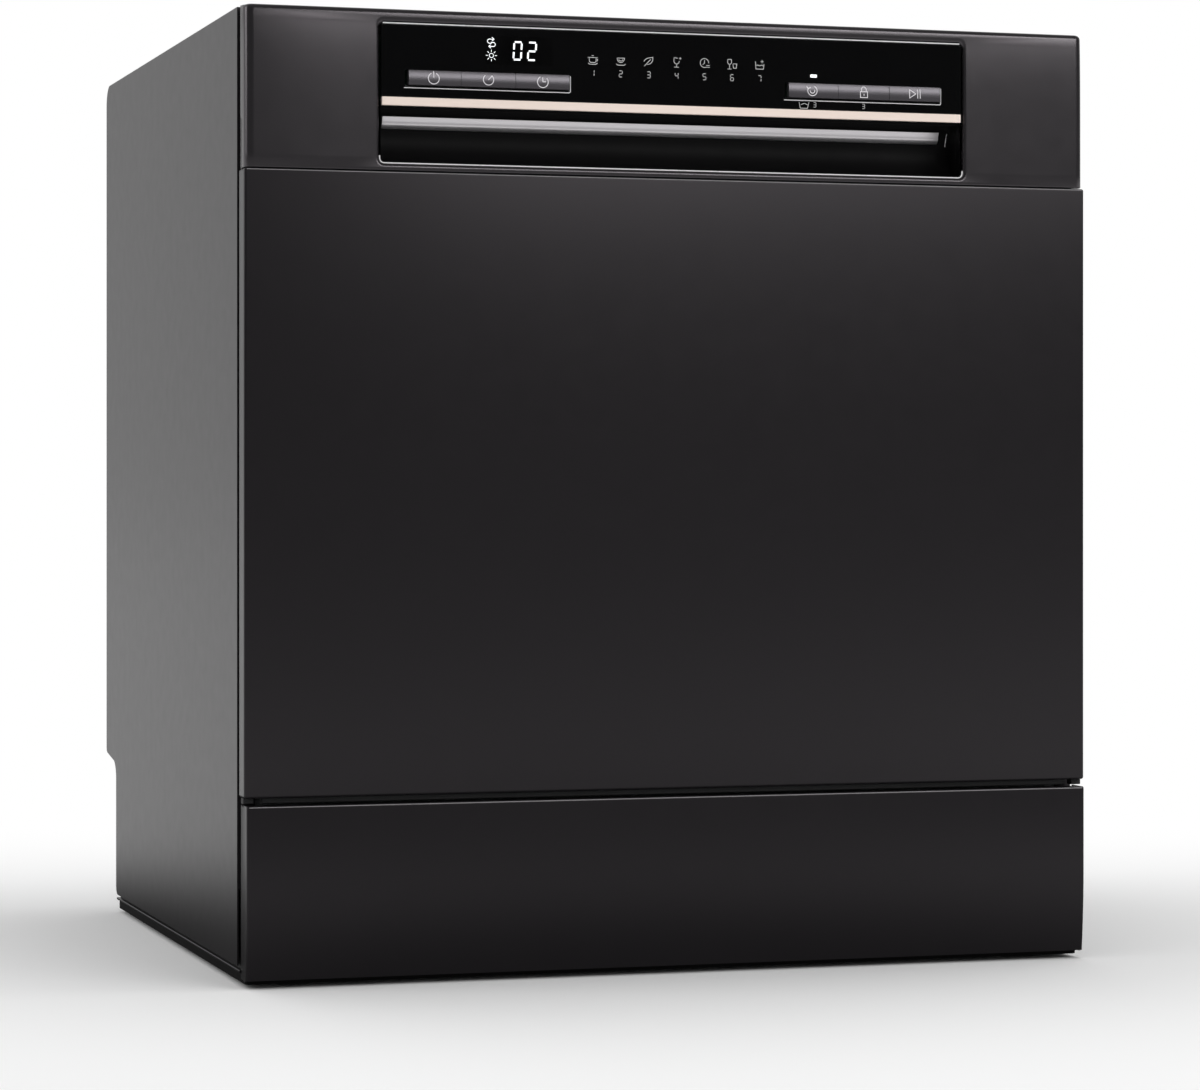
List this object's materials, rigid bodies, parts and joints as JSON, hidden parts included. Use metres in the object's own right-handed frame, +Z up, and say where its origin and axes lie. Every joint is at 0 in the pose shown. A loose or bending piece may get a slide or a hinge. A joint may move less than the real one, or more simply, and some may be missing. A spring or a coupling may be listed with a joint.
{
  "type": "countertop dishwasher",
  "caption": "Boxy countertop dishwasher with a drop-down door, a glossy control window above a recessed grip, wire racks, spray arms and a base with pumps.",
  "frame": {"origin": "centre of the bounding box's bottom face, on the surface the feet stand on", "axes": "+X to the right seen from the front, +Y from the front to the rear, +Z up"},
  "size_m": [0.55, 0.5, 0.595],
  "materials": {
    "charcoal_steel": "satin powder coat",
    "fascia_graphite": "satin",
    "black_glass": "high gloss",
    "pocket_black": "gloss",
    "champagne_trim": "satin anodised",
    "key_metal": "satin metallic",
    "stainless": "fine brushed",
    "galvanised": "zinc-plated sheet",
    "spring_steel": "bright drawn wire",
    "seal_rubber": "matt EPDM",
    "base_plastic": "textured",
    "duct_plastic": "moulded",
    "white_plastic": "moulded",
    "dispenser_grey": "smooth",
    "arm_grey": "moulded",
    "filter_mesh": "perforated",
    "rack_vinyl": "vinyl-coated wire",
    "cap_blue": "smooth",
    "board_green": "solder mask"
  },
  "bodies": {
    "cabinet": {"left_side_panel": "charcoal_steel", "right_side_panel": "charcoal_steel", "top_panel": "charcoal_steel", "rear_panel": "galvanised", "base_tray": "base_plastic", "kick_plate": "charcoal_steel", "front_frame": "galvanised", "tub": "stainless", "tub_gasket": "seal_rubber", "hinge_brackets": "galvanised", "hinge_springs": "spring_steel", "latch_strike": "galvanised", "rack_rails": "white_plastic", "delivery_duct": "duct_plastic", "air_break": "white_plastic", "sump": "duct_plastic", "softener_tank": "white_plastic", "wash_pump": "duct_plastic", "drain_pump": "white_plastic", "flow_heater": "stainless", "inlet_valve": "white_plastic", "drain_outlet": "duct_plastic", "main_board_box": "base_plastic", "cabinet_screws": "spring_steel"},
    "door": {"door_outer_panel": "charcoal_steel", "door_inner_liner": "stainless", "hinge_levers": "galvanised", "control_fascia": "fascia_graphite", "display_window": "black_glass", "trim_strip": "champagne_trim", "grip_pocket": "pocket_black", "control_board": "board_green", "door_latch": "white_plastic", "dispenser_body": "dispenser_grey", "door_screws": "spring_steel"},
    "power_key": {"power_key": "key_metal"},
    "program_key": {"program_key": "key_metal"},
    "delay_key": {"delay_key": "key_metal"},
    "extra_key": {"extra_key": "key_metal"},
    "lock_key": {"lock_key": "key_metal"},
    "start_key": {"start_key": "key_metal"},
    "dispenser_lid": {"dispenser_lid": "arm_grey"},
    "rinse_aid_cap": {"rinse_aid_cap": "cap_blue"},
    "lower_rack": {"lower_rack": "rack_vinyl"},
    "front_rack_wheels": {"front_rack_wheels": "rack_vinyl"},
    "rear_rack_wheels": {"rear_rack_wheels": "rack_vinyl"},
    "cutlery_basket": {"cutlery_basket": "arm_grey"},
    "upper_rack": {"upper_rack": "rack_vinyl"},
    "cup_shelf": {"cup_shelf": "arm_grey"},
    "upper_spray_arm": {"upper_spray_arm": "arm_grey"},
    "lower_spray_arm": {"lower_spray_arm": "arm_grey"},
    "filter": {"filter": "filter_mesh"},
    "salt_cap": {"salt_cap": "white_plastic"},
    "float": {"float": "white_plastic"},
    "foot_front_left": {"foot_front_left": "seal_rubber"},
    "foot_front_right": {"foot_front_right": "seal_rubber"},
    "foot_rear_left": {"foot_rear_left": "seal_rubber"},
    "foot_rear_right": {"foot_rear_right": "seal_rubber"},
    "wash_impeller": {"wash_impeller": "white_plastic"},
    "drain_impeller": {"drain_impeller": "white_plastic"}
  },
  "joints": [
    {"name": "door_hinge", "type": "hinge", "parent": "cabinet", "child": "door", "pos_m": [0, -0.2385, 0.1239], "axis": [1, 0, 0], "range_deg": [0, 90]},
    {"name": "power_key_press", "type": "slide", "parent": "door", "child": "power_key", "axis": [0, 1, 0], "range_m": [0, 0.001], "stiffness_N_per_m": 400},
    {"name": "program_key_press", "type": "slide", "parent": "door", "child": "program_key", "axis": [0, 1, 0], "range_m": [0, 0.001], "stiffness_N_per_m": 400},
    {"name": "delay_key_press", "type": "slide", "parent": "door", "child": "delay_key", "axis": [0, 1, 0], "range_m": [0, 0.001], "stiffness_N_per_m": 400},
    {"name": "extra_key_press", "type": "slide", "parent": "door", "child": "extra_key", "axis": [0, 1, 0], "range_m": [0, 0.001], "stiffness_N_per_m": 400},
    {"name": "lock_key_press", "type": "slide", "parent": "door", "child": "lock_key", "axis": [0, 1, 0], "range_m": [0, 0.001], "stiffness_N_per_m": 400},
    {"name": "start_key_press", "type": "slide", "parent": "door", "child": "start_key", "axis": [0, 1, 0], "range_m": [0, 0.001], "stiffness_N_per_m": 400},
    {"name": "dispenser_lid_slide", "type": "slide", "parent": "door", "child": "dispenser_lid", "axis": [1, 0, 0], "range_m": [0, 0.066]},
    {"name": "rinse_aid_cap_turn", "type": "hinge", "parent": "door", "child": "rinse_aid_cap", "pos_m": [0.08, -0.207, 0.385], "axis": [0, 1, 0], "range_deg": [0, 90]},
    {"name": "lower_rack_slide", "type": "slide", "parent": "cabinet", "child": "lower_rack", "axis": [0, -1, 0], "range_m": [0, 0.015]},
    {"name": "front_wheels_roll", "type": "hinge", "parent": "lower_rack", "child": "front_rack_wheels", "pos_m": [0, -0.137, 0.184], "axis": [1, 0, 0], "range_deg": [0, 65]},
    {"name": "rear_wheels_roll", "type": "hinge", "parent": "lower_rack", "child": "rear_rack_wheels", "pos_m": [0, 0.1518, 0.184], "axis": [1, 0, 0], "range_deg": [0, 65]},
    {"name": "cutlery_basket_lift", "type": "slide", "parent": "lower_rack", "child": "cutlery_basket", "axis": [0, 0, 1], "range_m": [0, 0.06]},
    {"name": "upper_rack_slide", "type": "slide", "parent": "cabinet", "child": "upper_rack", "axis": [0, -1, 0], "range_m": [0, 0.015]},
    {"name": "cup_shelf_fold", "type": "hinge", "parent": "upper_rack", "child": "cup_shelf", "pos_m": [-0.1998, -0.007, 0.488], "axis": [0, -1, 0], "range_deg": [0, 88]},
    {"name": "upper_spray_arm_turn", "type": "hinge", "parent": "upper_rack", "child": "upper_spray_arm", "pos_m": [0, 0.008, 0.409], "axis": [0, 0, 1], "continuous": true},
    {"name": "lower_spray_arm_turn", "type": "hinge", "parent": "cabinet", "child": "lower_spray_arm", "pos_m": [0, 0.008, 0.167], "axis": [0, 0, 1], "continuous": true},
    {"name": "filter_twist", "type": "hinge", "parent": "cabinet", "child": "filter", "pos_m": [0.08, -0.072, 0.15], "axis": [0, 0, 1], "range_deg": [0, 45]},
    {"name": "salt_cap_turn", "type": "hinge", "parent": "cabinet", "child": "salt_cap", "pos_m": [0.17, -0.135, 0.155], "axis": [0, 0, 1], "range_deg": [0, 270]},
    {"name": "float_rise", "type": "slide", "parent": "cabinet", "child": "float", "axis": [0, 0, 1], "range_m": [0, 0.008]},
    {"name": "foot_front_left_screw", "type": "slide", "parent": "cabinet", "child": "foot_front_left", "axis": [0, 0, 1], "range_m": [-0.01, 0]},
    {"name": "foot_front_right_screw", "type": "slide", "parent": "cabinet", "child": "foot_front_right", "axis": [0, 0, 1], "range_m": [-0.01, 0]},
    {"name": "foot_rear_left_screw", "type": "slide", "parent": "cabinet", "child": "foot_rear_left", "axis": [0, 0, 1], "range_m": [-0.01, 0]},
    {"name": "foot_rear_right_screw", "type": "slide", "parent": "cabinet", "child": "foot_rear_right", "axis": [0, 0, 1], "range_m": [-0.01, 0]},
    {"name": "wash_impeller_spin", "type": "hinge", "parent": "cabinet", "child": "wash_impeller", "pos_m": [-0.08, 0.063, 0.062], "axis": [1, 0, 0], "continuous": true},
    {"name": "drain_impeller_spin", "type": "hinge", "parent": "cabinet", "child": "drain_impeller", "pos_m": [0.14, 0.083, 0.062], "axis": [1, 0, 0], "continuous": true}
  ],
  "couplings": [
    {"joint": "front_wheels_roll", "follows": "lower_rack_slide", "rad_per_m": 71.429},
    {"joint": "rear_wheels_roll", "follows": "lower_rack_slide", "rad_per_m": 71.429}
  ]
}
